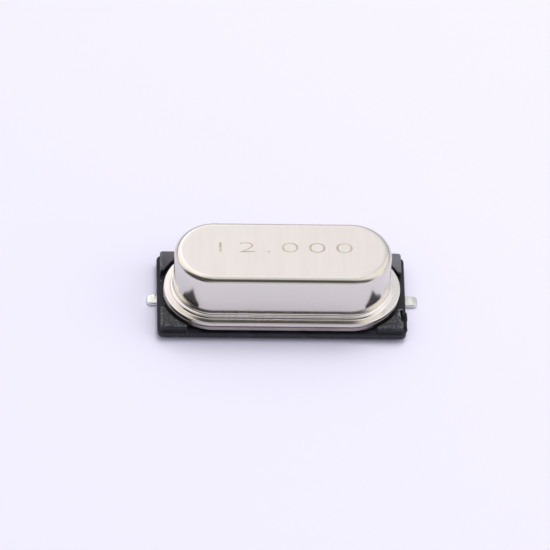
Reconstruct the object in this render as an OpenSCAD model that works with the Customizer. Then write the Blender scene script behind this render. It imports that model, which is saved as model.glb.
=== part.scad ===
// Surface-mount quartz crystal in a low metal can on a black moulded insulator.
// The origin is on the seating plane, midway between the two solder feet. +X runs from foot to foot.

/* [Insulator] */
// Length of the moulded insulator
base_l = 11.4; // [10.8:0.1:14]
// Width of the moulded insulator
base_w = 4.8; // [4.4:0.1:6]
// Height of the insulator's underside above the seating plane
base_lift = 0.19; // [0.1:0.01:0.22]
// Thickness of the slab under the header
slab_h = 0.31; // [0.26:0.01:0.8]
// Corner radius of the slab, seen from above
slab_corner_r = 0.28; // [0.04:0.02:0.4]
// Height of the four corner pads above the slab
pad_h = 0.41; // [0.1:0.01:0.6]
// Length of each corner pad along the insulator
pad_l = 1.2; // [0.8:0.05:1.5]
// Free width between the pads at each end
pad_gap_w = 2.24; // [1:0.02:2.8]
// How far the pads stand back from the slab's ends
pad_end_inset = 0.15; // [0.05:0.01:0.3]
// How far the pads stand back from the slab's sides
pad_side_inset = 0.1; // [0.05:0.01:0.3]
// Corner radius of the pads, seen from above
pad_corner_r = 0.14; // [0.04:0.02:0.3]
// Gap between the pads and the header's rim
pad_clear = 0.22; // [0.05:0.01:0.3]
// Width of the stub left where the moulding gate was broken off
gate_w = 0.9; // [0.4:0.05:1]
// How far the gate's stub stands up above the slab
gate_rise = 0.12; // [0.04:0.01:0.2]
// How far the gate's stub stands out from the insulator's end
gate_out = 0.05; // [0.02:0.01:0.1]
// Depth of the hollow that the gate tore in the end of the front right pad
gate_tear = 0.12; // [0.04:0.01:0.2]

/* [Header] */
// How far the rim lies in from the insulator's ends
header_end_inset = 0.275; // [0.2:0.025:0.5]
// How far the rim lies in from the insulator's sides
header_side_inset = 0.075; // [0:0.025:0.3]
// Height of the flat foot on the header's underside, which holds the rim clear of the slab
header_foot_h = 0.11; // [0.04:0.01:0.15]
// How far the edge of the header's foot lies in from the rim's outer edge
header_foot_inset = 0.4; // [0.2:0.05:0.6]
// Thickness of the header's rim
header_rim_h = 0.24; // [0.15:0.01:0.4]
// Rounding of the rim's two outer edges
header_edge_r = 0.04; // [0.01:0.01:0.07]
// Height of the plug that fills the can's mouth, above the rim
plug_h = 0.45; // [0.2:0.05:0.8]
// Rounding of the plug's upper edge
plug_edge_r = 0.08; // [0.02:0.02:0.16]
// Gap all round between the plug and the can
plug_clear = 0.06; // [0.02:0.01:0.15]
// Height of the ridge that the weld leaves between rim and flange
weld_h = 0.05; // [0.02:0.01:0.1]
// Width of the weld ridge
weld_w = 0.15; // [0.05:0.01:0.25]
// Distance of the weld ridge from the rim's outer edge
weld_inset = 0.2; // [0.1:0.01:0.25]
// Diameter of each glass seal
glass_d = 1.25; // [0.9:0.05:1.5]
// How far the glass stands up round each pin
glass_rise = 0.06; // [0:0.01:0.12]

/* [Can] */
// How far the header's rim stands out past the can's wall
rim_w = 0.45; // [0.4:0.01:0.6]
// Height of the can, from the underside of its flange
can_h = 2.62; // [2.2:0.02:4]
// Thickness of the can's wall
can_wall = 0.22; // [0.15:0.01:0.3]
// Thickness of the can's roof
can_roof = 0.22; // [0.15:0.01:0.3]
// Rounding of the roof's outer edge
roof_edge_r = 0.36; // [0.1:0.01:0.4]
// Rounding of the roof's inner edge
roof_inner_r = 0.14; // [0.02:0.01:0.2]
// How far the header's rim stands out past the can's flange
flange_setback = 0.03; // [0:0.01:0.1]
// Thickness of the can's flange where the weld pressed it
flange_h = 0.22; // [0.12:0.01:0.3]
// Rounding of the flange's upper edge
flange_edge_r = 0.06; // [0.02:0.01:0.1]
// Width of the raised shoulder beside the wall
shoulder_w = 0.17; // [0.14:0.01:0.25]
// Height of the shoulder above the pressed flange
shoulder_h = 0.08; // [0.01:0.01:0.12]
// Rounding of the shoulder's edge
shoulder_edge_r = 0.03; // [0.01:0.01:0.05]
// Radius of the cove where the wall runs out onto the shoulder
cove_r = 0.12; // [0.04:0.01:0.13]

/* [Leads] */
// Distance between the two pins
pin_pitch = 4.88; // [4.4:0.02:5.4]
// Diameter of the pins
pin_d = 0.43; // [0.34:0.01:0.5]
// Height of the pins above the header's plug
pin_rise = 0.35; // [0.2:0.05:0.5]
// Diameter of each pin's flat head inside the can
pin_head_d = 0.7; // [0.5:0.05:0.9]
// Thickness of the pin's head
pin_head_h = 0.1; // [0.06:0.01:0.15]
// Width of the flattened solder foot
foot_w = 0.6; // [0.4:0.02:0.8]
// Thickness of the flattened solder foot
foot_t = 0.22; // [0.14:0.01:0.26]
// How far each foot reaches out past the insulator
foot_reach = 0.52; // [0.3:0.02:0.9]
// Corner radius at the tip of each foot
foot_tip_r = 0.08; // [0.02:0.01:0.15]
// Inner radius of the bend where the lead turns outwards
bend_r = 0.1; // [0.06:0.01:0.12]
// Height over which the round pin runs out into the flattened lead
coin_h = 0.08; // [0.02:0.01:0.1]
// Gap between each lead and the insulator
lead_clear = 0.03; // [0.02:0.01:0.08]

/* [Resonator] */
// Gap between the blank's ends and the inside of the can
blank_end_gap = 0.75; // [0.55:0.05:1.4]
// Gap between the blank's sides and the inside of the can
blank_side_gap = 0.75; // [0.55:0.05:1.1]
// Thickness of the quartz blank
blank_t = 0.14; // [0.06:0.01:0.25]
// Height of the blank's underside above the pins' heads
blank_rise = 0.6; // [0.4:0.02:0.8]
// Length of each electrode's working area
electrode_l = 3.4; // [1:0.1:4.5]
// Bare margin of quartz on each side of the working area
electrode_margin = 0.25; // [0.05:0.05:0.5]
// Thickness of each electrode film
electrode_t = 0.02; // [0.01:0.005:0.04]
// Width of the strip that leads each electrode to its end of the blank
electrode_tab_w = 0.36; // [0.2:0.02:0.5]
// Bare margin between the strip and the blank's edges
tab_margin = 0.02; // [0.01:0.01:0.1]
// Thickness of the spring strip that holds the blank
clip_t = 0.1; // [0.05:0.01:0.14]
// Width of the clip's arm
clip_arm_w = 0.7; // [0.4:0.05:1.2]
// Width of the upright on each side of its slot
clip_side_w = 0.25; // [0.15:0.05:0.35]
// Height of the upright above the blank
clip_over = 0.3; // [0.15:0.05:0.5]
// Inner radius of the clip's bend
clip_bend_r = 0.1; // [0.05:0.01:0.2]
// How far the blank's ends stand out through the clips
blank_poke = 0.15; // [0.05:0.05:0.4]
// Gap between the slot and the blank with its films
slot_clear = 0.02; // [0.01:0.01:0.05]
// Radius of the conductive adhesive dab
dab_r = 0.3; // [0.2:0.02:0.36]
// How far the dab's centre lies in from the blank's edge
dab_inset = 0.1; // [0:0.02:0.2]

/* [Hidden] */
$fn = 96;

eps = 0.05; // how far a cutter runs past the face that it opens
left = -1;
right = 1;

slab_top = base_lift + slab_h;
rim_z = slab_top + header_foot_h; // underside of the header's rim
rim_top = rim_z + header_rim_h;
pad_mid_y = (pad_gap_w + base_w - 2 * pad_side_inset) / 4;
pad_end_x = base_l / 2 - pad_end_inset;
flange_z = rim_top + weld_h;
plug_top = rim_top + plug_h;

header_l = base_l - 2 * header_end_inset;
header_w = base_w - 2 * header_side_inset;
reach = (header_l - header_w) / 2; // half the length of the straight sides of header and can
can_w = header_w - 2 * rim_w;
inner_w = can_w - 2 * can_wall;
plug_w = inner_w - 2 * plug_clear;

pin_x = pin_pitch / 2;
pin_top = plug_top + pin_rise;
foot_tip_x = base_l / 2 + foot_reach;
bend_x = pin_x + foot_t / 2 + bend_r; // centre of the lead's bend
bend_z = foot_t + bend_r;
hole_d = norm([foot_w, foot_t]) + 2 * lead_clear; // the flattened lead turns inside this hole

blank_l = 2 * (reach - blank_end_gap) + inner_w;
blank_w = inner_w - 2 * blank_side_gap;
blank_z = pin_top + blank_rise;
blank_mid_z = blank_z + blank_t / 2;
electrode_w = blank_w - 2 * electrode_margin;
clip_z = pin_top; // the arm is welded on the pin's head
upright_x = blank_l / 2 - blank_poke - clip_t; // inner face of the upright
slot_w = blank_w + 2 * slot_clear;
slot_h = blank_t + 2 * (electrode_t + slot_clear);
clip_w = slot_w + 2 * clip_side_w;

// Quarter of a disc, in the corner of the first quadrant
module quarter_disc(r) {
    intersection() {
        circle(r = r);
        square(r);
    }
}

// Rectangle with its far upper corner rounded
module round_shoulder(w, h, r) {
    square([w - r, h]);
    translate([w - r, 0]) square([r, h - r]);
    translate([w - r, h - r]) quarter_disc(r);
}

// Concave corner fill with its corner at the origin
module cove(r) {
    difference() {
        square(r);
        translate([r, r]) circle(r = r);
    }
}

// Rectangle with four round corners, centred on the origin
module round_rect(l, w, r) {
    square([l - 2 * r, w], center = true);
    square([l, w - 2 * r], center = true);
    for (sx = [-1, 1])
        for (sy = [-1, 1])
            translate([sx * (l / 2 - r), sy * (w / 2 - r)]) circle(r = r);
}

// Straight-sided oval, centred on the origin
module oval(l, w) {
    square([l - w, w], center = true);
    for (side = [left, right])
        translate([side * (l - w) / 2, 0]) circle(d = w);
}

// Sweeps a section round an oval. The section's x is the distance from the oval's spine.
module sweep_oval() {
    for (turn = [0, 180])
        rotate([0, 0, turn]) {
            translate([reach, 0, 0]) rotate([0, 0, -90]) rotate_extrude(angle = 180) children();
            translate([-reach, 0, 0]) rotate([90, 0, 90]) linear_extrude(2 * reach) children();
        }
}

// Moulded insulator: a slab with four locating pads, two lead holes, two foot grooves and a gate scar
module plastic_base() {
    color("#2b2c30")
        difference() {
            union() {
                translate([0, 0, base_lift]) linear_extrude(slab_h) round_rect(base_l, base_w, slab_corner_r);
                translate([0, 0, base_lift]) linear_extrude(slab_h + pad_h) corner_pads();
                gate_stub();
            }
            gate_hollow();
            for (side = [left, right]) {
                translate([side * pin_x, 0, 0]) cylinder(h = slab_top + eps, d = hole_d);
                foot_groove(side);
            }
        }
}

// Outline of the pads: the inset rectangle, less the gaps between pads and the header's place
module corner_pads() {
    difference() {
        round_rect(2 * pad_end_x, base_w - 2 * pad_side_inset, pad_corner_r);
        square([2 * (pad_end_x - pad_l), base_w], center = true);
        square([base_l, pad_gap_w], center = true);
        oval(header_l + 2 * pad_clear, header_w + 2 * pad_clear);
    }
}

// Stub of the moulding gate, at the outer edge of the ledge beside the front right pad
module gate_stub() {
    translate([base_l / 2, -pad_mid_y, base_lift + gate_out])
        linear_extrude(slab_h + gate_rise - gate_out)
            polygon([[-gate_out, -gate_w / 2], [0, -gate_w / 2], [gate_out, -gate_w / 3],
                     [gate_out, 0], [0, gate_w / 2], [-gate_out, gate_w / 2]]);
}

// Hollow torn in the end of the front right pad when the gate broke off
module gate_hollow() {
    translate([pad_end_x, -pad_mid_y, slab_top])
        linear_extrude(pad_h + eps)
            polygon([[eps, -gate_w / 2], [0, -gate_w / 2], [-gate_tear, -gate_w / 4], [-gate_tear / 2, 0],
                     [-gate_tear, gate_w / 4], [0, gate_w / 2], [eps, gate_w / 2]]);
}

// Groove on the underside in which one foot lies
module foot_groove(side) {
    groove_w = foot_w + 2 * lead_clear;
    groove_h = foot_t + lead_clear + eps;
    translate([side * (pin_x + foot_tip_x) / 2, 0, groove_h / 2 - eps])
        cube([foot_tip_x - pin_x, groove_w, groove_h], center = true);
}

// Steel header: the welded rim, its weld ridge and the plug, bored for the two glass seals
module header() {
    color("#9a958f")
        difference() {
            translate([0, 0, rim_z]) sweep_oval() header_section();
            for (side = [left, right])
                translate([side * pin_x, 0, slab_top - eps])
                    cylinder(h = plug_top - slab_top + 2 * eps, d = glass_d);
        }
}

module header_section() {
    rim_r = header_w / 2;
    plug_r = plug_w / 2;
    translate([0, header_rim_h / 2]) {
        round_shoulder(rim_r, header_rim_h / 2, header_edge_r);
        mirror([0, 1]) round_shoulder(rim_r, header_rim_h / 2, header_edge_r);
    }
    translate([0, -header_foot_h]) square([rim_r - header_foot_inset, header_foot_h + header_rim_h / 2]);
    translate([rim_r - weld_inset - weld_w, 0]) square([weld_w, header_rim_h + weld_h]);
    round_shoulder(plug_r, header_rim_h + plug_h, plug_edge_r);
}

// Drawn can: roof, wall, cove, raised shoulder and the flange that the weld pressed
module can() {
    color("#d9d6d2")
        translate([0, 0, flange_z]) sweep_oval() can_section();
}

module can_section() {
    wall_r = can_w / 2;
    flange_r = header_w / 2 - flange_setback;
    shoulder_top = flange_h + shoulder_h;
    difference() {
        union() {
            round_shoulder(wall_r, can_h, roof_edge_r);
            round_shoulder(wall_r + shoulder_w, shoulder_top, shoulder_edge_r);
            round_shoulder(flange_r, flange_h, flange_edge_r);
            translate([wall_r, shoulder_top]) cove(cove_r);
        }
        translate([0, -eps]) round_shoulder(inner_w / 2, can_h - can_roof + eps, roof_inner_r);
    }
}

// Glass that seals and insulates one pin, with a low meniscus round the pin
module glass_seal(side) {
    color("#2f4d46")
        translate([side * pin_x, 0, slab_top])
            difference() {
                union() {
                    cylinder(h = plug_top - slab_top, d = glass_d);
                    translate([0, 0, plug_top - slab_top])
                        cylinder(h = glass_rise, d1 = glass_d, d2 = pin_d + glass_rise);
                }
                translate([0, 0, -eps]) cylinder(h = plug_top + 2 * eps, d = pin_d);
            }
}

// One lead: headed pin, flattened bend and solder foot, drawn for the right side
module lead_right_form() {
    translate([pin_x, 0, bend_z + coin_h]) cylinder(h = pin_top - bend_z - coin_h, d = pin_d);
    translate([pin_x, 0, bend_z]) cylinder(h = coin_h, d1 = foot_t, d2 = pin_d);
    translate([pin_x, 0, pin_top - pin_head_h]) cylinder(h = pin_head_h, d = pin_head_d);
    translate([pin_x - foot_t / 2, -foot_w / 2, bend_z])
        cube([foot_t, foot_w, slab_top - lead_clear - bend_z]);
    translate([bend_x, foot_w / 2, bend_z])
        rotate([90, 0, 0])
            rotate([0, 0, 180])
                linear_extrude(foot_w) bend_section();
    linear_extrude(foot_t) foot_outline();
}

// Quarter ring of the flattened lead, seen from the side
module bend_section() {
    difference() {
        quarter_disc(bend_r + foot_t);
        circle(r = bend_r);
    }
}

// Foot seen from above, with its tip's corners rounded
module foot_outline() {
    straight_l = foot_tip_x - foot_tip_r - bend_x;
    translate([bend_x, -foot_w / 2]) square([straight_l, foot_w]);
    translate([foot_tip_x - foot_tip_r, 0]) {
        translate([0, foot_tip_r - foot_w / 2]) square([foot_tip_r, foot_w - 2 * foot_tip_r]);
        translate([0, foot_w / 2 - foot_tip_r]) quarter_disc(foot_tip_r);
        mirror([0, 1]) translate([0, foot_w / 2 - foot_tip_r]) quarter_disc(foot_tip_r);
    }
}

module lead(side) {
    color("#e4e4e2")
        rotate([0, 0, side == left ? 180 : 0]) lead_right_form();
}

// Spring clip on one pin: a welded arm, a bend and a slotted upright for the blank's end
module clip_right_form() {
    arm_x = pin_x - clip_arm_w / 2;
    bend_start_x = upright_x - clip_bend_r;
    upright_z = clip_z + clip_t + clip_bend_r;
    upright_h = blank_z + blank_t + clip_over - upright_z;
    translate([arm_x, -clip_arm_w / 2, clip_z]) cube([bend_start_x - arm_x, clip_arm_w, clip_t]);
    translate([bend_start_x, clip_arm_w / 2, upright_z])
        rotate([90, 0, 0])
            linear_extrude(clip_arm_w) clip_bend_section();
    difference() {
        translate([upright_x, -clip_w / 2, upright_z]) cube([clip_t, clip_w, upright_h]);
        blank_slot();
    }
}

module clip_bend_section() {
    mirror([0, 1])
        difference() {
            quarter_disc(clip_bend_r + clip_t);
            circle(r = clip_bend_r);
        }
}

// The opening that the blank's end passes through
module blank_slot() {
    translate([upright_x - eps, -slot_w / 2, blank_mid_z - slot_h / 2])
        cube([clip_t + 2 * eps, slot_w, slot_h]);
}

module clip(side) {
    color("#b9b7b0")
        rotate([0, 0, side == left ? 180 : 0]) clip_right_form();
}

// Quartz blank: a thin strip held at its two ends
module quartz_blank() {
    color("#dfe8ea", 0.6)
        translate([0, 0, blank_mid_z]) cube([blank_l, blank_w, blank_t], center = true);
}

// Electrode film, drawn on the blank's upper face. Its tab runs along the front edge to the right end.
module electrode_top_form() {
    tab_x = electrode_l / 2 - electrode_tab_w;
    tab_end_x = blank_l / 2 - tab_margin;
    front_y = tab_margin - blank_w / 2;
    translate([0, 0, blank_t / 2]) {
        translate([0, 0, electrode_t / 2]) cube([electrode_l, electrode_w, electrode_t], center = true);
        translate([tab_x, front_y, 0]) cube([electrode_tab_w, -front_y, electrode_t]);
        translate([tab_x, front_y, 0]) cube([tab_end_x - tab_x, electrode_tab_w, electrode_t]);
    }
}

module electrode(turn) {
    color("#c9c9cc")
        translate([0, 0, blank_mid_z]) rotate([0, turn, 0]) electrode_top_form();
}

// Conductive adhesive at the blank's front edge, shaped by the blank, its film and the clip
module adhesive_right_form() {
    difference() {
        translate([upright_x, dab_inset - blank_w / 2, blank_mid_z]) sphere(r = dab_r);
        quartz_blank();
        electrode(0);
        clip_right_form();
    }
}

module adhesive(turn) {
    color("#8d8a86")
        translate([0, 0, blank_mid_z])
            rotate([0, turn, 0])
                translate([0, 0, -blank_mid_z]) adhesive_right_form();
}

plastic_base();
header();
can();
glass_seal(left);  // glass_seal_left
glass_seal(right);  // glass_seal_right
lead(left);  // lead_left
lead(right);  // lead_right
clip(left);  // clip_left
clip(right);  // clip_right
quartz_blank();
electrode(0);  // electrode_top
electrode(180);  // electrode_bottom
adhesive(180);  // adhesive_left
adhesive(0);  // adhesive_right
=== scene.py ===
import bpy
import bmesh
import math
from mathutils import Matrix, Vector, noise


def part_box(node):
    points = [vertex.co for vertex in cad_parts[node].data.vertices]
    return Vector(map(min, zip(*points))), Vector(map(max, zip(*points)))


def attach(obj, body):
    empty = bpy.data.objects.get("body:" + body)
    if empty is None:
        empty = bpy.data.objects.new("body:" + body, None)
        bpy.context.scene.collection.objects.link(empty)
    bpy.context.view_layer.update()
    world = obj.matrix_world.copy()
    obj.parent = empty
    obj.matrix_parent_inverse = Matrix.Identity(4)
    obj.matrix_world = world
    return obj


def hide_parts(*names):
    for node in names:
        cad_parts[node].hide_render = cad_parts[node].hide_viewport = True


# A quartz crystal in a low metal can, soldered down by two flat feet
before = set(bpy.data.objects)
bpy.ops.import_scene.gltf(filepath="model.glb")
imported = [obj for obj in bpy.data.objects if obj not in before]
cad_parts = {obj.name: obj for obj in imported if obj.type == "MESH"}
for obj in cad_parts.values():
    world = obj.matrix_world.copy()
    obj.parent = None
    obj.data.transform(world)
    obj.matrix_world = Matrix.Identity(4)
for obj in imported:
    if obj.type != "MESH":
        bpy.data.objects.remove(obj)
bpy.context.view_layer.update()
mm = 0.001
print("frame loaded with", len(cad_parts), "nodes")


# Places that several pieces share, all read from the frame

canLow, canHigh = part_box("can")
headerLow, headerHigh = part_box("header")
baseLow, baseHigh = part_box("plastic_base")
flangeRadius = canHigh.y
rimRadius = headerHigh.y
reach = canHigh.x - flangeRadius  # from the middle out to the centre of each round end
slabTop = headerLow.z
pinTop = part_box("lead_right")[1].z


# Mesh helpers

def bentProfile(bm, corners):
    # a chain of edges in the plane x = 0, each corner given as (distance out, height, rounding, steps)
    hold = 0.004 * mm  # an extra point this far past each rounding keeps the flat beside it evenly shaded
    places = [Vector((0, -out, up)) for out, up, _, _ in corners]
    roundings = [corner[2] for corner in corners]
    chain, rounded = [], []
    for index, (place, rounding) in enumerate(zip(places, roundings)):
        if index and rounding:
            leg = places[index - 1] - place
            if leg.length > rounding + roundings[index - 1] + 3 * hold:
                chain.append(bm.verts.new(place + leg.normalized() * (rounding + hold)))
        chain.append(bm.verts.new(place))
        if rounding:
            rounded.append((chain[-1], rounding, corners[index][3]))
        if rounding and index + 1 < len(places):
            leg = places[index + 1] - place
            if leg.length > rounding + roundings[index + 1] + 3 * hold:
                chain.append(bm.verts.new(place + leg.normalized() * (rounding + hold)))
    for pair in zip(chain, chain[1:]):
        bm.edges.new(pair)
    for vert, rounding, steps in rounded:
        bmesh.ops.bevel(bm, geom=[vert], offset=rounding, offset_type="OFFSET", affect="VERTICES",
                        segments=steps, profile=0.5, material=-1)


def sweepRoundOval(bm, turnSteps, straightSteps):
    # carries the profile out to the right end, round it, home along the back and round the left end
    bmesh.ops.translate(bm, verts=bm.verts[:], vec=(-reach, 0, 0))
    last = bm.verts[:] + bm.edges[:]
    for side in (1, -1):
        swept = bmesh.ops.spin(bm, geom=last, axis=(0, 0, 1), cent=(0, 0, 0), angle=0,
                               dvec=(side * 2 * reach / straightSteps, 0, 0), steps=straightSteps)
        swept = bmesh.ops.spin(bm, geom=swept["geom_last"], axis=(0, 0, 1), cent=(side * reach, 0, 0),
                               angle=math.pi, steps=turnSteps)
        last = swept["geom_last"]
    bmesh.ops.remove_doubles(bm, verts=bm.verts[:], dist=0.001 * mm)


def closeRims(bm):
    rims = [edge for edge in bm.edges if edge.is_boundary]
    bmesh.ops.edgeloop_fill(bm, edges=rims)
    bmesh.ops.recalc_face_normals(bm, faces=bm.faces[:])


def distanceOut(co):
    # how far a point lies from the oval's middle line
    return math.hypot(max(abs(co.x) - reach, 0), co.y)


def outward(co):
    middle = Vector((max(min(co.x, reach), -reach), 0, 0))
    return (Vector((co.x, co.y, 0)) - middle).normalized()


def ripple(co, scale, seed):
    # smooth noise from -1 to 1, with a feature about every 1/scale millimetres
    return noise.noise(co / mm * scale + Vector((seed, seed * 1.7, seed * 0.3)))


def markSharp(bm, degrees):
    for face in bm.faces:
        face.smooth = True
    for edge in bm.edges:
        if len(edge.link_faces) == 2 and edge.calc_face_angle(0) > math.radians(degrees):
            edge.smooth = False


def plate(bm, size, centre, low, high, rounding, steps):
    # an upright block whose four standing edges are rounded
    made = bmesh.ops.create_grid(bm, x_segments=1, y_segments=1, size=0.5)["verts"]
    bmesh.ops.scale(bm, vec=(size[0], size[1], 1), verts=made)
    bmesh.ops.translate(bm, vec=(centre[0], centre[1], low), verts=made)
    if rounding:
        made = bmesh.ops.bevel(bm, geom=made, offset=rounding, offset_type="OFFSET", affect="VERTICES",
                               segments=steps, profile=0.5, material=-1)["verts"]
    face = made[0].link_faces[0]
    grown = bmesh.ops.extrude_face_region(bm, geom=[face])["geom"]
    tops = [part for part in grown if isinstance(part, bmesh.types.BMVert)]
    bmesh.ops.translate(bm, vec=(0, 0, high - low), verts=tops)
    bmesh.ops.recalc_face_normals(bm, faces=bm.faces[:])


def looseObject(name, bm):
    mesh = bpy.data.meshes.new(name)
    bm.to_mesh(mesh)
    bm.free()
    made = bpy.data.objects.new(name, mesh)
    bpy.context.scene.collection.objects.link(made)
    return made


def carve(target, tool, operation):
    # cuts or joins with a tool object, then throws the tool away
    cut = target.modifiers.new("carve", "BOOLEAN")
    cut.operation = operation
    cut.solver = "EXACT"
    cut.object = tool
    applyModifiers(target)
    bpy.data.objects.remove(tool)


def applyModifiers(target):
    graph = bpy.context.evaluated_depsgraph_get()
    result = bpy.data.meshes.new_from_object(target.evaluated_get(graph))
    target.modifiers.clear()
    target.data = result


def finishPiece(piece, material, slotName, *stoodFor):
    piece.data.materials.clear()
    piece.data.materials.append(material)
    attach(piece, "root")
    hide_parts(*stoodFor)
    print(piece.name, "has", len(piece.data.polygons), "faces")


# Material helpers

def startMaterial(name):
    material = bpy.data.materials.new(name)
    material.use_nodes = True
    tree = material.node_tree
    return material, tree, tree.nodes["Principled BSDF"]


def node(tree, kind, **values):
    # adds a node, sets its properties, and links or sets the inputs given as a dictionary
    inputs = values.pop("inputs", {})
    made = tree.nodes.new(kind)
    for key, value in values.items():
        setattr(made, key, value)
    for key, value in inputs.items():
        feed(tree, value, made.inputs[key])
    return made


def feed(tree, value, socket):
    if isinstance(value, bpy.types.NodeSocket):
        tree.links.new(value, socket)
    else:
        socket.default_value = value


def arithmetic(tree, operation, first, second=0.0, clamp=False):
    return node(tree, "ShaderNodeMath", operation=operation, use_clamp=clamp,
                inputs={0: first, 1: second}).outputs[0]


def rampBetween(tree, value, low, high, toLow=0.0, toHigh=1.0):
    return node(tree, "ShaderNodeMapRange", interpolation_type="SMOOTHSTEP",
                inputs={"Value": value, "From Min": low, "From Max": high,
                        "To Min": toLow, "To Max": toHigh}).outputs[0]


def blendColours(tree, amount, first, second):
    return node(tree, "ShaderNodeMix", data_type="RGBA",
                inputs={0: amount, 6: first, 7: second}).outputs[2]


def stretched(tree, perMillimetre):
    # object coordinates turned into pattern units, so many along each axis for each millimetre
    place = node(tree, "ShaderNodeTexCoord").outputs["Object"]
    return node(tree, "ShaderNodeMapping",
                inputs={"Vector": place, "Scale": [count / mm for count in perMillimetre]}).outputs[0]


def heightBump(tree, height, strength, depth, under=None):
    made = node(tree, "ShaderNodeBump",
                inputs={"Strength": strength, "Distance": depth * mm, "Height": height})
    if under:
        tree.links.new(under, made.inputs["Normal"])
    return made.outputs[0]


def newGroup(name, inputs, outputs):
    group = bpy.data.node_groups.new(name, "ShaderNodeTree")
    for label, value in inputs:
        kind = "NodeSocketVector" if label == "Vector" else "NodeSocketFloat"
        made = group.interface.new_socket(name=label, in_out="INPUT", socket_type=kind)
        if value is not None:
            made.default_value = value
    for label in outputs:
        group.interface.new_socket(name=label, in_out="OUTPUT", socket_type="NodeSocketFloat")
    return group, node(group, "NodeGroupInput").outputs, node(group, "NodeGroupOutput").inputs


def makeStreakGroup():
    # long drawn or rolled lines, at two widths
    group, given, result = newGroup("streaks", [("Vector", None), ("Contrast", 1.0)], ["Height", "Patches"])
    fine = node(group, "ShaderNodeTexNoise", inputs={"Vector": given["Vector"], "Scale": 1.0, "Detail": 3.0})
    wide = node(group, "ShaderNodeTexNoise", inputs={"Vector": given["Vector"], "Scale": 0.17, "Detail": 1.0})
    lines = arithmetic(group, "MULTIPLY", fine.outputs[0], 0.65)
    bands = arithmetic(group, "MULTIPLY", wide.outputs[0], 0.35)
    both = arithmetic(group, "ADD", lines, bands)
    feed(group, arithmetic(group, "MULTIPLY", both, given["Contrast"]), result["Height"])
    feed(group, rampBetween(group, wide.outputs[0], 0.35, 0.65), result["Patches"])
    return group


def makeSpeckGroup():
    # small separate specks, for dust, pits and nicks
    group, given, result = newGroup("specks", [("Vector", None), ("Size", 0.2)], ["Mask"])
    cells = node(group, "ShaderNodeTexVoronoi", inputs={"Vector": given["Vector"], "Scale": 1.0})
    patchy = node(group, "ShaderNodeTexNoise",
                  inputs={"Vector": given["Vector"], "Scale": 0.31, "Detail": 2.0})
    dots = arithmetic(group, "LESS_THAN", cells.outputs["Distance"], given["Size"])
    some = rampBetween(group, patchy.outputs[0], 0.55, 0.62)
    feed(group, arithmetic(group, "MULTIPLY", dots, some), result["Mask"])
    return group


streakGroup = makeStreakGroup()
speckGroup = makeSpeckGroup()


def streaks(tree, perMillimetre, contrast=1.0):
    return node(tree, "ShaderNodeGroup", node_tree=streakGroup,
                inputs={"Vector": stretched(tree, perMillimetre), "Contrast": contrast}).outputs


def specks(tree, perMillimetre, size):
    return node(tree, "ShaderNodeGroup", node_tree=speckGroup,
                inputs={"Vector": stretched(tree, [perMillimetre] * 3), "Size": size}).outputs[0]


# Camera and studio

camera = {"lens": 532.4, "turn": 3.44, "elevation": 47.82, "roll": 3.13, "distance": 374.7 * mm,
          "aim": (-0.233 * mm, 1.56 * mm, 0.15 * mm)}


def makeCamera():
    data = bpy.data.cameras.new("camera")
    data.lens = camera["lens"]
    data.clip_start = 10 * mm
    data.clip_end = 10
    made = bpy.data.objects.new("camera", data)
    bpy.context.scene.collection.objects.link(made)
    pose = Matrix.Translation(camera["aim"])
    pose @= Matrix.Rotation(math.radians(-camera["turn"]), 4, "Z")
    pose @= Matrix.Rotation(math.radians(90 - camera["elevation"]), 4, "X")
    pose @= Matrix.Rotation(math.radians(camera["roll"]), 4, "Z")
    made.matrix_world = pose @ Matrix.Translation((0, 0, camera["distance"]))
    bpy.context.scene.camera = made


# turn is degrees from the front towards the right, and a radiance of 1 shows as white
softBoxes = {
    "key": {"turn": 152, "elevation": 70, "distance": 320, "size": (150, 150), "radiance": 5.4,
            "tint": (1.0, 0.98, 1.0)},
    "overhead": {"turn": 176, "elevation": 68, "distance": 300, "size": (460, 430), "radiance": 0.36,
                 "tint": (1.0, 0.95, 0.85)},
    "rightHand": {"turn": 80, "elevation": 38, "distance": 320, "size": (330, 300), "radiance": 0.8,
                  "tint": (1.0, 0.97, 0.95)},
}
# what polished metal sees around it, in the order in which one patch lies over another
tent = {
    "back": {"turn": 206, "elevation": 45, "width": 34, "height": 30, "edge": 0.1,
             "colour": (1.6, 1.545, 1.513, 1)},
    "left": {"turn": -112, "elevation": 38, "width": 42, "height": 40, "edge": 0.12,
             "colour": (1.36, 1.31, 1.28, 1)},
    "right": {"turn": 92, "elevation": 34, "width": 34, "height": 37, "edge": 0.14,
              "colour": (1.14, 1.115, 1.08, 1)},
    "backRight": {"turn": 157, "elevation": 44, "width": 17, "height": 22, "edge": 0.25,
                  "colour": (0.76, 0.76, 0.74, 1)},
    "backLow": {"turn": 180, "elevation": 4, "width": 75, "height": 14, "edge": 0.3,
                "colour": (0.44, 0.47, 0.48, 1)},
    "darkRoom": {"turn": -17, "elevation": 5, "width": 72, "height": 61, "edge": 0.1, "round": True,
                 "colour": (0.1, 0.093, 0.09, 1)},
    "tableFront": {"turn": 8, "elevation": 5, "width": 26, "height": 17, "edge": 0.5, "round": True,
                   "colour": (0.75, 0.74, 0.77, 1)},
}
studio = {"floorColour": (0.86, 0.85, 0.93, 1), "floorWidth": 4000, "floorDrop": 0.004 * mm,
          "skyColour": (0.88, 0.875, 1.06, 1), "skyFill": 0.56, "tentColour": (0.9, 0.89, 0.89, 1)}


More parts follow.
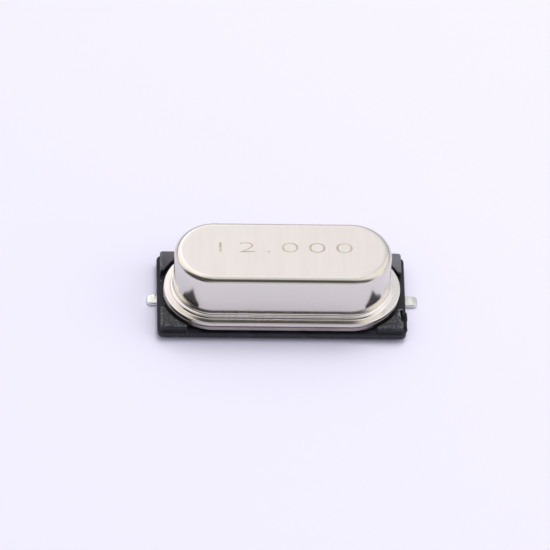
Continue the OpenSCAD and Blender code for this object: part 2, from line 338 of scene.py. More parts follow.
def makeSoftBoxes():
    for name, box in softBoxes.items():
        data = bpy.data.lights.new(name, "AREA")
        data.shape = "RECTANGLE"
        data.size = box["size"][0] * mm
        data.size_y = box["size"][1] * mm
        data.energy = box["radiance"] * math.pi * data.size * data.size_y
        data.color = box["tint"]
        made = bpy.data.objects.new(name, data)
        bpy.context.scene.collection.objects.link(made)
        pose = Matrix.Rotation(math.radians(box["turn"]), 4, "Z")
        pose @= Matrix.Rotation(math.radians(90 - box["elevation"]), 4, "X")
        made.matrix_world = pose @ Matrix.Translation((0, 0, box["distance"] * mm))
        made.visible_glossy = False


def makeFloor():
    bm = bmesh.new()
    bmesh.ops.create_grid(bm, x_segments=1, y_segments=1, size=studio["floorWidth"] / 2 * mm)
    bmesh.ops.translate(bm, verts=bm.verts[:], vec=(0, 0, -studio["floorDrop"]))
    floor = looseObject("floor", bm)
    material, tree, shader = startMaterial("floorPaper")
    shader.inputs["Base Color"].default_value = studio["floorColour"]
    shader.inputs["Roughness"].default_value = 0.9
    shader.inputs["Specular IOR Level"].default_value = 0.1
    floor.data.materials.append(material)


def tentPatch(tree, towards, patch):
    # 1 inside a patch of the sky, fading to 0 over its edge
    turned = (math.radians(-patch["elevation"]), 0, math.radians(patch["turn"]))
    spread = (math.sin(math.radians(patch["width"])), 1, math.sin(math.radians(patch["height"])))
    faced = node(tree, "ShaderNodeMapping", vector_type="TEXTURE",
                 inputs={"Vector": towards, "Rotation": turned, "Scale": spread}).outputs[0]
    across, ahead, up = node(tree, "ShaderNodeSeparateXYZ", inputs={0: faced}).outputs
    if patch.get("round"):
        squares = arithmetic(tree, "ADD", arithmetic(tree, "MULTIPLY", across, across),
                             arithmetic(tree, "MULTIPLY", up, up))
        out = arithmetic(tree, "SQRT", squares)
    else:
        out = arithmetic(tree, "MAXIMUM", arithmetic(tree, "ABSOLUTE", across),
                         arithmetic(tree, "ABSOLUTE", up))
    within = rampBetween(tree, out, 1 + patch["edge"], 1 - patch["edge"])
    return arithmetic(tree, "MULTIPLY", within, arithmetic(tree, "LESS_THAN", ahead, 0.0))


def makeWorld():
    # plain white for the camera, the painted tent for the metal, and a weaker fill for dull surfaces
    world = bpy.data.worlds.new("studio")
    world.use_nodes = True
    bpy.context.scene.world = world
    tree = world.node_tree
    rays = node(tree, "ShaderNodeLightPath").outputs
    mirrored = arithmetic(tree, "MAXIMUM", rays["Is Glossy Ray"], rays["Is Transmission Ray"])
    seen = arithmetic(tree, "MAXIMUM", rays["Is Camera Ray"], mirrored)
    towards = node(tree, "ShaderNodeTexCoord").outputs["Generated"]
    painted = studio["tentColour"]
    for patch in tent.values():
        painted = blendColours(tree, tentPatch(tree, towards, patch), painted, patch["colour"])
    background = tree.nodes["Background"]
    tree.links.new(blendColours(tree, mirrored, studio["skyColour"], painted), background.inputs["Color"])
    tree.links.new(rampBetween(tree, seen, 0, 1, studio["skyFill"], 1.0), background.inputs["Strength"])


bpy.context.scene.view_settings.view_transform = "Standard"
makeCamera()
makeSoftBoxes()
makeFloor()
makeWorld()
print("camera and studio made")


# Can: the drawn cover with its roof, wall, cove and pressed flange

can = {"wallOut": 1.875 * mm, "wall": 0.22 * mm, "roof": 0.22 * mm, "roofEdge": 0.36 * mm,
       "innerEdge": 0.14 * mm, "flatMargin": 0.03 * mm, "cove": 0.096 * mm,
       "flangeHeight": 0.19 * mm, "flangeFall": 0.018 * mm, "flangeEdge": 0.045 * mm,
       "shoulderWidth": 0.135 * mm, "shoulderHeight": 0.125 * mm, "shoulderEdge": 0.035 * mm,
       "shoulderFlare": 0.01 * mm, "shoulderFoot": 0.02 * mm,
       "ragged": 0.014 * mm, "raggedReach": 0.045 * mm, "pressed": 0.002 * mm, "offCentre": 0.05 * mm,
       "wallTone": (0.71, 0.68, 0.62, 1), "flangeTone": (0.73, 0.7, 0.675, 1),
       # the first colour on the next line is a painted reflection, the lighter colour of the flange's ends
       "flangeEndReflectionTone": (0.92, 0.88, 0.87, 1), "satinTones": ((0.86, 0.814, 0.8, 1), (0.88, 0.834, 0.82, 1)),
       "wallRough": 0.14, "roofRough": 0.3, "sideRough": 0.25}


def makeCanMetal():
    material, tree, shader = startMaterial("canNickel")
    place = node(tree, "ShaderNodeTexCoord").outputs["Object"]
    along, _, height = node(tree, "ShaderNodeSeparateXYZ", inputs={0: place}).outputs
    onRoof = rampBetween(tree, height, canHigh.z - 0.03 * mm, canHigh.z - 0.002 * mm)
    onFlange = rampBetween(tree, height, canLow.z + 0.42 * mm, canLow.z + 0.34 * mm)
    onSide = rampBetween(tree, height, canLow.z + 0.17 * mm, canLow.z + 0.15 * mm)
    rolled = streaks(tree, (30, 2.6, 1))
    drawn = streaks(tree, (5, 5, 0.35))
    pressed = node(tree, "ShaderNodeTexNoise", inputs={"Vector": stretched(tree, (5, 5, 5)), "Scale": 1.0,
                                                       "Detail": 4.0})
    satin = blendColours(tree, onRoof, drawn["Height"], rolled["Height"])
    grain = heightBump(tree, satin, rampBetween(tree, onRoof, 0, 1, 0.05, 0.2), 0.006)
    dents = heightBump(tree, pressed.outputs[0], rampBetween(tree, onFlange, 0, 1, 0.0, 0.15), 0.012, grain)
    tree.links.new(dents, shader.inputs["Normal"])
    satinTone = blendColours(tree, rolled["Patches"], *can["satinTones"])
    # painted reflection: the flange's colour is made lighter towards its ends, fully at the right and a
    # little at the left, standing in for the brighter reflections at its ends
    reflectionTowardEnds = arithmetic(tree, "ADD", rampBetween(tree, along, 2.8 * mm, 4.4 * mm),
                        rampBetween(tree, along, -4.5 * mm, -5.4 * mm, 0, 0.35))
    flangeToneWithReflection = blendColours(tree, reflectionTowardEnds, can["flangeTone"], can["flangeEndReflectionTone"])
    upperTone = blendColours(tree, onRoof, can["wallTone"], satinTone)
    tone = blendColours(tree, onFlange, upperTone, flangeToneWithReflection)
    tree.links.new(tone, shader.inputs["Base Color"])
    rough = rampBetween(tree, onRoof, 0, 1, can["wallRough"], can["roofRough"])
    worn = arithmetic(tree, "MULTIPLY", onFlange, -0.03)
    mottled = arithmetic(tree, "MULTIPLY", drawn["Patches"], 0.03)
    dulled = arithmetic(tree, "MULTIPLY", onSide, can["sideRough"])
    rough = arithmetic(tree, "ADD", arithmetic(tree, "ADD", rough, worn), dulled)
    tree.links.new(arithmetic(tree, "ADD", rough, mottled), shader.inputs["Roughness"])
    shader.inputs["Metallic"].default_value = 1.0
    return material


def makeCan():
    roofLine = canHigh.z
    flangeTop = canLow.z + can["flangeHeight"]
    shoulderTop = flangeTop + can["shoulderHeight"]
    wallOut = can["wallOut"]
    wallIn = wallOut - can["wall"]
    shoulderOut = wallOut + can["shoulderWidth"]
    flat = wallOut - can["roofEdge"] - can["flatMargin"]
    bm = bmesh.new()
    bentProfile(bm, [(flat, roofLine, 0, 0),
                     (wallOut, roofLine, can["roofEdge"], 18),
                     (wallOut, shoulderTop, can["cove"], 10),
                     (shoulderOut, shoulderTop, can["shoulderEdge"], 4),
                     (shoulderOut + can["shoulderFlare"], flangeTop, can["shoulderFoot"], 3),
                     (flangeRadius, flangeTop - can["flangeFall"], can["flangeEdge"], 5),
                     (flangeRadius, canLow.z, 0, 0),
                     (wallIn, canLow.z, 0, 0),
                     (wallIn, roofLine - can["roof"], can["innerEdge"], 5),
                     (flat, roofLine - can["roof"], 0, 0)])
    sweepRoundOval(bm, 170, 160)
    closeRims(bm)
    for vert in bm.verts:  # the electrode leaves a ragged shoulder edge and presses the flange unevenly
        out = distanceOut(vert.co)
        up = vert.co.z
        level = Vector((vert.co.x, vert.co.y, 0))
        onLip = shoulderOut - 1.1 * can["shoulderEdge"] < out < shoulderOut + can["raggedReach"]
        if onLip and up > flangeTop - 0.001 * mm:
            torn = ripple(level, 4.5, 5) + 0.7 * ripple(level, 9, 2)
            onEnd = min(max(abs(vert.co.x) / mm - 2.3, 0), 0.85)  # less torn on the round ends
            vert.co += outward(vert.co) * can["ragged"] * (1 - onEnd) * torn
        elif out > shoulderOut and up > canLow.z + 0.001 * mm:
            vert.co.z -= can["pressed"] * (1 + ripple(level, 1.1, 9))
            vert.co.x += can["offCentre"] * min(max(vert.co.x / reach, 0), 1)
    markSharp(bm, 40)
    finishPiece(looseObject("drawn_can", bm), makeCanMetal(), "can_nickel", "can")


makeCan()


# Laser marking: a plain number in thin strokes on the roof

marking = {"text": "12.000", "width": 6.1 * mm, "height": 0.6 * mm, "centre": (0.12 * mm, 0.2 * mm),
           "thin": -0.022, "spacing": 1.3, "depth": 0.001 * mm,
           "tones": ((0.56, 0.49, 0.4, 1), (0.7, 0.63, 0.55, 1)), "rough": (0.5, 0.62)}


def makeMarking():
    outline = bpy.data.curves.new("number", "FONT")
    outline.body = marking["text"]
    outline.offset = marking["thin"]
    outline.space_character = marking["spacing"]
    outline.extrude = 0.01
    outline.resolution_u = 6
    letters = bpy.data.objects.new("laser_number", outline)
    bpy.context.scene.collection.objects.link(letters)
    graph = bpy.context.evaluated_depsgraph_get()
    mesh = bpy.data.meshes.new_from_object(letters.evaluated_get(graph))
    bpy.data.objects.remove(letters)
    bm = bmesh.new()
    bm.from_mesh(mesh)
    bmesh.ops.remove_doubles(bm, verts=bm.verts[:], dist=0.0001)
    low = Vector([min(vert.co[axis] for vert in bm.verts) for axis in range(3)])
    high = Vector([max(vert.co[axis] for vert in bm.verts) for axis in range(3)])
    bmesh.ops.translate(bm, verts=bm.verts[:], vec=-(low + high) / 2)
    size = high - low
    bmesh.ops.scale(bm, verts=bm.verts[:], vec=(marking["width"] / size.x, marking["height"] / size.y,
                                                2 * marking["depth"] / size.z))
    bmesh.ops.translate(bm, verts=bm.verts[:], vec=(*marking["centre"], canHigh.z))
    material, tree, shader = startMaterial("laserMark")
    burnt = streaks(tree, (18, 18, 1))
    tone = blendColours(tree, burnt["Patches"], *marking["tones"])
    tree.links.new(tone, shader.inputs["Base Color"])
    tree.links.new(rampBetween(tree, burnt["Patches"], 0, 1, *marking["rough"]), shader.inputs["Roughness"])
    shader.inputs["Metallic"].default_value = 1.0
    number = looseObject("laser_number", bm)
    number.data.materials.append(material)
    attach(number, "root")
    print("laser_number has", len(number.data.polygons), "faces")


makeMarking()


# Header: the steel plate that the can is welded to

header = {"footHeight": 0.11 * mm, "footInset": 0.4 * mm, "rimHeight": 0.24 * mm, "rimEdge": 0.06 * mm,
          "ridgeHeight": 0.05 * mm, "ridgeWidth": 0.15 * mm, "ridgeInset": 0.2 * mm, "plugOut": 1.595 * mm,
          "plugEdge": 0.08 * mm, "flat": 1.45 * mm, "waviness": 0.012 * mm, "sheared": 0.008 * mm,
          "footEdge": 0.03 * mm, "pinX": 2.44 * mm, "glassRadius": 0.625 * mm,
          "tones": ((0.34, 0.3, 0.29, 1), (0.42, 0.38, 0.365, 1)), "rough": (0.4, 0.48)}


def makeHeaderMetal():
    material, tree, shader = startMaterial("headerNickel")
    rubbed = streaks(tree, (6, 6, 12))
    pitted = node(tree, "ShaderNodeTexNoise", inputs={"Vector": stretched(tree, (9, 9, 16)), "Scale": 1.0,
                                                      "Detail": 4.0})
    tone = blendColours(tree, rubbed["Patches"], *header["tones"])
    tree.links.new(tone, shader.inputs["Base Color"])
    tree.links.new(heightBump(tree, pitted.outputs[0], 0.35, 0.02), shader.inputs["Normal"])
    tree.links.new(rampBetween(tree, rubbed["Patches"], 0, 1, *header["rough"]), shader.inputs["Roughness"])
    shader.inputs["Metallic"].default_value = 1.0
    return material


def makeHeader():
    rimLow = headerLow.z + header["footHeight"]
    rimTop = rimLow + header["rimHeight"]
    ridgeTop = rimTop + header["ridgeHeight"]
    ridgeOut = rimRadius - header["ridgeInset"]
    ridgeIn = ridgeOut - header["ridgeWidth"]
    footOut = rimRadius - header["footInset"]
    bm = bmesh.new()
    bentProfile(bm, [(header["flat"], headerLow.z, 0, 0),
                     (footOut, headerLow.z, 0, 0),
                     (footOut, rimLow, header["footEdge"], 3),
                     (rimRadius, rimLow, header["rimEdge"], 4),
                     (rimRadius, (rimLow + rimTop) / 2, 0, 0),
                     (rimRadius, rimTop, header["rimEdge"], 5),
                     (ridgeOut, rimTop, 0, 0),
                     (ridgeOut, ridgeTop, 0, 0),
                     (ridgeIn, ridgeTop, 0, 0),
                     (ridgeIn, rimTop, 0, 0),
                     (header["plugOut"], rimTop, 0, 0),
                     (header["plugOut"], headerHigh.z, header["plugEdge"], 5),
                     (header["flat"], headerHigh.z, 0, 0)])
    sweepRoundOval(bm, 100, 100)
    closeRims(bm)
    for vert in bm.verts:  # the sheared rim is slightly wavy
        if distanceOut(vert.co) > ridgeOut + 0.05 * mm:
            wave = 0.5 + 0.5 * ripple(Vector((vert.co.x, vert.co.y, 0)), 0.8, 3)
            shear = 0.5 + 0.5 * ripple(Vector((vert.co.x, vert.co.y, 0.6 * vert.co.z)), 5, 7)
            vert.co -= outward(vert.co) * (header["waviness"] * wave + header["sheared"] * shear)
    markSharp(bm, 40)
    plateObject = looseObject("weld_header", bm)
    for side in (-1, 1):
        bore = bmesh.new()
        bmesh.ops.create_cone(bore, cap_ends=True, segments=64, radius1=header["glassRadius"],
                              radius2=header["glassRadius"], depth=4 * mm)
        bmesh.ops.translate(bore, verts=bore.verts[:], vec=(side * header["pinX"], 0, headerHigh.z))
        carve(plateObject, looseObject("bore", bore), "DIFFERENCE")
    finishPiece(plateObject, makeHeaderMetal(), "header_nickel", "header")


makeHeader()


# Base: the black moulded insulator

base = {"corner": 0.28 * mm, "padEndInset": 0.15 * mm, "padSideInset": 0.1 * mm, "padLength": 1.2 * mm,
        "padCorner": 0.14 * mm, "padGap": 2.24 * mm, "padClear": 0.22 * mm, "edge": 0.06 * mm,
        "holeWidth": 0.699 * mm, "grooveWidth": 0.66 * mm, "grooveHeight": 0.25 * mm, "spare": 0.2 * mm,
        "gateWidth": 0.9 * mm, "gateTear": 0.13 * mm, "gateOut": 0.05 * mm, "gateRise": 0.12 * mm,
        "gateRough": 0.05 * mm, "gateShift": 0.15 * mm, "rubbedEnd": 0.14 * mm, "rubbedSide": 0.1 * mm,
        "plainTones": ((0.009, 0.0095, 0.014, 1), (0.018, 0.019, 0.025, 1)),
        # the second, paler colour on the next line is a painted sheen for the back pads' tops
        "padTone": (0.05, 0.052, 0.056, 1), "backPadSheenTone": (0.145, 0.145, 0.155, 1),
        "rubbedTone": (0.14, 0.14, 0.15, 1), "raggedTone": (0.2, 0.2, 0.21, 1),
        # the first, almost black colour on the next line is painted shade for the torn hollow
        "gateHollowShadeTone": (0.003, 0.003, 0.004, 1), "dustTone": (0.16, 0.16, 0.17, 1)}


def boxMask(tree, place, centre, half, fade):
    # 1 inside an upright block in plan, fading to 0 over the given width
    given = node(tree, "ShaderNodeVectorMath", operation="SUBTRACT",
                 inputs={0: place, 1: (*centre, 0)}).outputs[0]
    across = node(tree, "ShaderNodeVectorMath", operation="ABSOLUTE", inputs={0: given}).outputs[0]
    x, y, _ = node(tree, "ShaderNodeSeparateXYZ", inputs={0: across}).outputs
    return arithmetic(tree, "MULTIPLY", rampBetween(tree, x, half[0] + fade, half[0]),
                      rampBetween(tree, y, half[1] + fade, half[1]))


def makePlastic(padEnd, padSide, gateY):
    material, tree, shader = startMaterial("insulatorBlack")
    grain = node(tree, "ShaderNodeTexNoise", inputs={"Vector": stretched(tree, (14, 14, 14)), "Scale": 1.0,
                                                     "Detail": 6.0})
    cloud = node(tree, "ShaderNodeTexNoise", inputs={"Vector": stretched(tree, (1.3, 1.3, 1.3)), "Scale": 1.0,
                                                     "Detail": 4.0})
    mottle = node(tree, "ShaderNodeTexNoise", inputs={"Vector": stretched(tree, (8, 8, 8)), "Scale": 1.0,
                                                      "Detail": 5.0})
    place = node(tree, "ShaderNodeTexCoord").outputs["Object"]
    along, across, up = node(tree, "ShaderNodeSeparateXYZ", inputs={0: place}).outputs
    onPads = rampBetween(tree, up, baseHigh.z - 0.1 * mm, baseHigh.z - 0.03 * mm)
    # painted sheen: the pad tops are painted paler towards the back, standing in for the light from behind
    # that the back pads catch and the can keeps off the front pads
    slanted = arithmetic(tree, "ADD", across, arithmetic(tree, "MULTIPLY", along, 0.12))
    atBack = rampBetween(tree, slanted, 0, 3 * mm)
    backPadSheen = arithmetic(tree, "MULTIPLY", onPads, atBack)
    # rubbed along the pads' outer edges, most where the mottling is coarse
    unwornHalf = (padEnd - base["rubbedEnd"], padSide - base["rubbedSide"])
    unworn = boxMask(tree, place, (0, 0), unwornHalf, 0.1 * mm)
    rubbed = arithmetic(tree, "MULTIPLY", arithmetic(tree, "SUBTRACT", 1.0, unworn), onPads)
    rubbed = arithmetic(tree, "MULTIPLY", rubbed, rampBetween(tree, mottle.outputs[0], 0.3, 0.75))
    torn = (base["gateTear"], 0.4 * base["gateWidth"])
    hollow = boxMask(tree, place, (padEnd, gateY), torn, 0.03 * mm)
    around = boxMask(tree, place, (padEnd, gateY), torn, 0.16 * mm)
    ragged = arithmetic(tree, "MULTIPLY", rampBetween(tree, mottle.outputs[0], 0.4, 0.55),
                        arithmetic(tree, "MULTIPLY", around, onPads))
    # painted shade: the torn hollow below the pad tops is painted almost black
    gateHollowShade = arithmetic(tree, "MULTIPLY", hollow, arithmetic(tree, "SUBTRACT", 1.0, onPads))
    tone = blendColours(tree, rampBetween(tree, cloud.outputs[0], 0.35, 0.68), *base["plainTones"])
    mottled = arithmetic(tree, "MULTIPLY", onPads, rampBetween(tree, mottle.outputs[0], 0.4, 0.65))
    for amount, name in ((mottled, "padTone"), (backPadSheen, "backPadSheenTone"), (rubbed, "rubbedTone"),
                         (ragged, "raggedTone"), (gateHollowShade, "gateHollowShadeTone")):
        tone = blendColours(tree, amount, tone, base[name])
    dust = specks(tree, 7, 0.2)
    tree.links.new(blendColours(tree, dust, tone, base["dustTone"]), shader.inputs["Base Color"])
    tree.links.new(heightBump(tree, grain.outputs[0], 0.4, 0.03), shader.inputs["Normal"])
    tree.links.new(rampBetween(tree, cloud.outputs[0], 0.3, 0.7, 0.38, 0.5), shader.inputs["Roughness"])
    # the export drops a link to this socket, so the exported slab can look glossier than here
    tree.links.new(rampBetween(tree, onPads, 0, 1, 0.33, 0.45), shader.inputs["Specular IOR Level"])
    return material


def blockTool(size, centre, low, high, rounding=0, steps=0):
    bm = bmesh.new()
    plate(bm, size, centre, low, high, rounding, steps)
    return looseObject("tool", bm)


def drillTool(radius, x, segments):
    bm = bmesh.new()
    bmesh.ops.create_cone(bm, cap_ends=True, segments=segments, radius1=radius, radius2=radius, depth=4 * mm)
    bmesh.ops.translate(bm, verts=bm.verts[:], vec=(x, 0, 0))
    return looseObject("tool", bm)


def brokenTool(size, centre, low, high, seed):
    # a block whose faces are as rough as a break
    bm = bmesh.new()
    plate(bm, size, centre, low, high, 0, 0)
    bmesh.ops.subdivide_edges(bm, edges=bm.edges[:], cuts=9, use_grid_fill=True)
    bmesh.ops.triangulate(bm, faces=bm.faces[:])
    for vert in bm.verts:
        away = Vector((ripple(vert.co, 4, seed), ripple(vert.co, 4, seed + 3), ripple(vert.co, 4, seed + 6)))
        vert.co += away * base["gateRough"]
    return looseObject("tool", bm)


def makeBase():
    length = -2 * baseLow.x
    width = baseHigh.y - baseLow.y
    padEnd = length / 2 - base["padEndInset"]
    padSide = width / 2 - base["padSideInset"]
    body = blockTool((length, width), (0, 0), baseLow.z, slabTop, base["corner"], 8)
    for side in (-1, 1):
        pads = blockTool((2 * padEnd, 2 * padSide), (0, 0), baseLow.z + 0.1 * mm, baseHigh.z,
                         base["padCorner"], 6)
        endZone = (side * (10 * mm + padEnd - base["padLength"]), 0)
        carve(pads, blockTool((20 * mm, width), endZone, 0, 2 * mm), "INTERSECT")
        carve(pads, blockTool((20 * mm, base["padGap"]), (0, 0), 0, 2 * mm), "DIFFERENCE")
        carve(pads, drillTool(rimRadius + base["padClear"], side * reach, 160), "DIFFERENCE")
        carve(body, pads, "UNION")
    rounding = body.modifiers.new("edges", "BEVEL")
    rounding.limit_method = "ANGLE"
    rounding.angle_limit = math.radians(40)
    rounding.width = base["edge"]
    rounding.segments = 3
    rounding.loop_slide = False
    applyModifiers(body)
    for side in (-1, 1):
        carve(body, drillTool(base["holeWidth"] / 2, side * header["pinX"], 48), "DIFFERENCE")
        grooveLength = length / 2 + base["spare"] - header["pinX"]
        grooveMiddle = (side * (header["pinX"] + grooveLength / 2), 0)
        carve(body, blockTool((grooveLength, base["grooveWidth"]), grooveMiddle, -base["spare"],
                              base["grooveHeight"]), "DIFFERENCE")
    gateY = base["gateShift"] - (base["padGap"] / 2 + padSide) / 2
    gateTop = slabTop + base["gateRise"]
    tearSize = (2 * base["gateTear"], 0.8 * base["gateWidth"])
    carve(body, brokenTool(tearSize, (padEnd, gateY), slabTop + 0.03 * mm, baseHigh.z + 0.2 * mm, 4),
          "DIFFERENCE")
    stubSize = (2 * base["gateOut"], base["gateWidth"])
    carve(body, brokenTool(stubSize, (length / 2 - 0.3 * base["gateOut"], gateY),
                           baseLow.z + base["gateOut"], gateTop, 11), "UNION")
    for face in body.data.polygons:  # flat faces stay flat, and the roundings between them run smooth
        face.use_smooth = max(abs(part) for part in face.normal) < 0.999
    body.name = "moulded_base"
    finishPiece(body, makePlastic(padEnd, padSide, gateY), "insulator_black", "plastic_base")


makeBase()


# Leads: round pins, flattened where they turn out into the solder feet

lead = {"width": 0.6 * mm, "thickness": 0.22 * mm, "section": 0.07 * mm, "tipCorner": 0.18 * mm,
        "tipEdge": 0.06 * mm, "bend": 0.1 * mm, "clear": 0.03 * mm, "pinRadius": 0.215 * mm,
        "coin": 0.08 * mm, "headRadius": 0.35 * mm, "headHeight": 0.1 * mm, "headEdge": 0.03 * mm,
        "hammer": 0.024 * mm, "shift": 0.06 * mm, "rough": (0.24, 0.36),
        # painted shade for the right foot on the next line, and painted highlight for the left foot on the
        # line after
        "rightFootShadeTones": ((0.62, 0.64, 0.62, 1), (0.76, 0.775, 0.75, 1)),
        "leftFootHighlightTones": ((0.86, 0.87, 0.84, 1), (0.94, 0.945, 0.92, 1))}


def makeTin():
    material, tree, shader = startMaterial("leadTin")
    beaten = node(tree, "ShaderNodeTexVoronoi", feature="SMOOTH_F1",
                  inputs={"Vector": stretched(tree, (4, 6, 5)), "Scale": 1.0, "Smoothness": 0.6})
    scratched = streaks(tree, (3, 14, 8))
    first = heightBump(tree, beaten.outputs["Distance"], 0.4, 0.03)
    tree.links.new(heightBump(tree, scratched["Height"], 0.25, 0.02, first), shader.inputs["Normal"])
    place = node(tree, "ShaderNodeTexCoord").outputs["Object"]
    along = node(tree, "ShaderNodeSeparateXYZ", inputs={0: place}).outputs[0]
    # painted highlight and painted shade: the left foot's colour is painted lighter and the right foot's
    # darker, standing in for the brighter and the greyer sky that each foot mirrors
    dulled = blendColours(tree, scratched["Patches"], *lead["rightFootShadeTones"])
    leftFootHighlight = blendColours(tree, scratched["Patches"], *lead["leftFootHighlightTones"])
    tone = blendColours(tree, rampBetween(tree, along, -3 * mm, 3 * mm), leftFootHighlight, dulled)
    tree.links.new(tone, shader.inputs["Base Color"])
    tree.links.new(rampBetween(tree, scratched["Patches"], 0, 1, *lead["rough"]), shader.inputs["Roughness"])
    shader.inputs["Metallic"].default_value = 1.0
    return material


def makePin(bendTop):
    # the round pin with its flat head, which starts inside the flattened part
    radius = lead["pinRadius"]
    headLow = pinTop - lead["headHeight"]
    bm = bmesh.new()
    bentProfile(bm, [(0, bendTop, 0, 0),
                     (lead["thickness"] / 2, bendTop, 0, 0),
                     (radius, bendTop + lead["coin"], 0.02 * mm, 2),
                     (radius, headLow, 0, 0),
                     (lead["headRadius"], headLow, lead["headEdge"], 3),
                     (lead["headRadius"], pinTop, lead["headEdge"], 3),
                     (0, pinTop, 0, 0)])
    bmesh.ops.spin(bm, geom=bm.verts[:] + bm.edges[:], axis=(0, 0, 1), cent=(0, 0, 0), angle=2 * math.pi,
                   steps=40, use_merge=True)
    bmesh.ops.remove_doubles(bm, verts=bm.verts[:], dist=0.0005 * mm)
    bmesh.ops.recalc_face_normals(bm, faces=bm.faces[:])
    bmesh.ops.translate(bm, verts=bm.verts[:], vec=(header["pinX"], 0, 0))
    return looseObject("tool", bm)


def makeLead(side, name, cadName, material):
    low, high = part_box(cadName)
    tip = max(abs(low.x), abs(high.x)) + side * lead["shift"]  # both feet sit a little to the right
    thick = lead["thickness"]
    middle = thick / 2
    bendX = header["pinX"] + middle + lead["bend"]
    bendTop = thick + lead["bend"]
    bm = bmesh.new()
    ring = bmesh.ops.create_circle(bm, segments=4, radius=0.5 * math.sqrt(2))["verts"]
    bmesh.ops.rotate(bm, verts=ring, cent=(0, 0, 0), matrix=Matrix.Rotation(math.pi / 4, 3, "Z"))
    bmesh.ops.scale(bm, verts=ring, vec=(thick, lead["width"] - 2 * lead["tipCorner"], 1))
    bmesh.ops.bevel(bm, geom=ring, offset=lead["section"], offset_type="OFFSET", affect="VERTICES",
                    segments=4, profile=0.5, material=-1)
    wide = [edge for edge in bm.edges if edge.calc_length() > 0.15 * mm]
    bmesh.ops.subdivide_edges(bm, edges=wide, cuts=12)
    bmesh.ops.rotate(bm, verts=bm.verts[:], cent=(0, 0, 0), matrix=Matrix.Rotation(math.pi / 2, 3, "Y"))
    bmesh.ops.translate(bm, verts=bm.verts[:], vec=(tip, 0, middle))
    half = lead["width"] / 2 - lead["tipCorner"]
    for vert in bm.verts:  # the tip starts thin and narrow, and fills out over a quarter turn
        vert.co.z = middle + (vert.co.z - middle) * (1 - lead["tipEdge"] / middle)
    last = bm.verts[:] + bm.edges[:]
    for step in range(1, 7):
        angle = math.radians(15 * step)
        before = math.radians(15 * (step - 1))
        along = lead["tipCorner"] * (math.cos(before) - math.cos(angle))
        last = bmesh.ops.spin(bm, geom=last, axis=(0, 0, 1), cent=(0, 0, 0), angle=0,
                              dvec=(-along, 0, 0), steps=1)["geom_last"]
        wider = (half + lead["tipCorner"] * math.sin(angle)) / (half + lead["tipCorner"] * math.sin(before))
        thicker = ((middle - lead["tipEdge"] * (1 - math.sin(angle)))
                   / (middle - lead["tipEdge"] * (1 - math.sin(before))))
        for vert in last:
            if isinstance(vert, bmesh.types.BMVert):
                vert.co.y *= wider
                vert.co.z = middle + (vert.co.z - middle) * thicker
    straight = tip - lead["tipCorner"] - bendX
    last = bmesh.ops.spin(bm, geom=last, axis=(0, 0, 1), cent=(0, 0, 0), angle=0,
                          dvec=(-straight / 70, 0, 0), steps=70)["geom_last"]
    last = bmesh.ops.spin(bm, geom=last, axis=(0, 1, 0), cent=(bendX, 0, bendTop), angle=math.radians(90),
                          steps=10)["geom_last"]
    rise = slabTop - lead["clear"] - bendTop
    bmesh.ops.spin(bm, geom=last, axis=(0, 0, 1), cent=(0, 0, 0), angle=0, dvec=(0, 0, rise / 4), steps=4)
    closeRims(bm)
    for vert in bm.verts:  # the flattened foot keeps the dents of the tool
        if vert.co.x > bendX and vert.co.z > 0.3 * thick:
            dent = ripple(vert.co, 3.2, 2 + side) + 0.5 * ripple(vert.co, 7, 5 + side)
            vert.co.z += lead["hammer"] * (dent - 0.6) * min((vert.co.z - 0.3 * thick) / (0.5 * thick), 1)
            vert.co.x -= 0.5 * lead["hammer"] * (1 + ripple(vert.co, 5, 8 + side))
    foot = looseObject(name, bm)
    carve(foot, makePin(bendTop), "UNION")
    finished = bmesh.new()
    finished.from_mesh(foot.data)
    markSharp(finished, 50)
    if side < 0:
        bmesh.ops.rotate(finished, verts=finished.verts[:], cent=(0, 0, 0),
                         matrix=Matrix.Rotation(math.pi, 3, "Z"))
    finished.to_mesh(foot.data)
    finished.free()
    finishPiece(foot, material, "lead_tin", cadName)


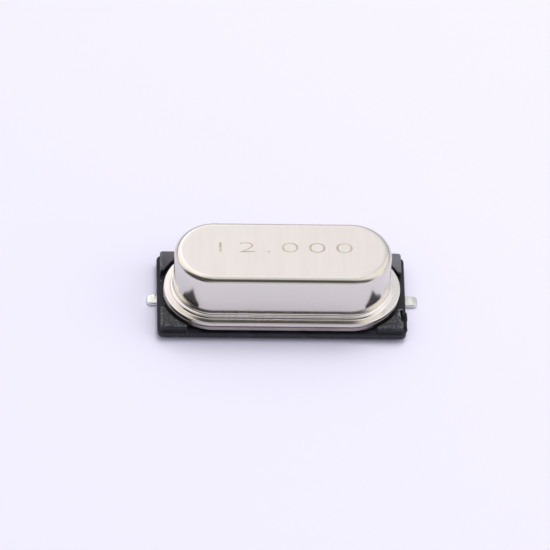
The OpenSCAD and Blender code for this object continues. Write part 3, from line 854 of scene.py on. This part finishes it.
tin = makeTin()
makeLead(-1, "solder_lead_left", "lead_left", tin)
makeLead(1, "solder_lead_right", "lead_right", tin)


# Inside the can: the frame's own pieces, which only need their materials

innerLooks = {
    "sealGlass": {"nodes": ("glass_seal_left", "glass_seal_right"), "dark": (0.025, 0.05, 0.045, 1),
                  "pale": (0.06, 0.1, 0.09, 1), "grain": (7, 7, 7), "rough": (0.06, 0.16), "metal": 0.0},
    "springStrip": {"nodes": ("clip_left", "clip_right"), "dark": (0.5, 0.49, 0.46, 1),
                    "pale": (0.62, 0.61, 0.58, 1), "grain": (4, 20, 4), "rough": (0.22, 0.36), "metal": 1.0},
    "lappedQuartz": {"nodes": ("quartz_blank",), "dark": (0.78, 0.82, 0.84, 1), "pale": (0.88, 0.91, 0.93, 1),
                     "grain": (16, 16, 16), "rough": (0.35, 0.5), "metal": 0.0},
    "silverFilm": {"nodes": ("electrode_top", "electrode_bottom"), "dark": (0.78, 0.78, 0.79, 1),
                   "pale": (0.88, 0.88, 0.89, 1), "grain": (9, 9, 9), "rough": (0.12, 0.22), "metal": 1.0},
    "silverAdhesive": {"nodes": ("adhesive_left", "adhesive_right"), "dark": (0.34, 0.33, 0.31, 1),
                       "pale": (0.5, 0.49, 0.47, 1), "grain": (12, 12, 12), "rough": (0.55, 0.7),
                       "metal": 0.0},
}


def makeInside():
    for name, look in innerLooks.items():
        material, tree, shader = startMaterial(name)
        grain = streaks(tree, look["grain"])
        tone = blendColours(tree, grain["Patches"], look["dark"], look["pale"])
        pitted = blendColours(tree, specks(tree, 14, 0.16), tone, look["dark"])
        tree.links.new(pitted, shader.inputs["Base Color"])
        tree.links.new(rampBetween(tree, grain["Patches"], 0, 1, *look["rough"]), shader.inputs["Roughness"])
        tree.links.new(heightBump(tree, grain["Height"], 0.3, 0.006), shader.inputs["Normal"])
        shader.inputs["Metallic"].default_value = look["metal"]
        for cadName in look["nodes"]:
            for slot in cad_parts[cadName].material_slots:
                slot.material = material
    print("materials given to", sum(len(look["nodes"]) for look in innerLooks.values()), "inner pieces")


makeInside()
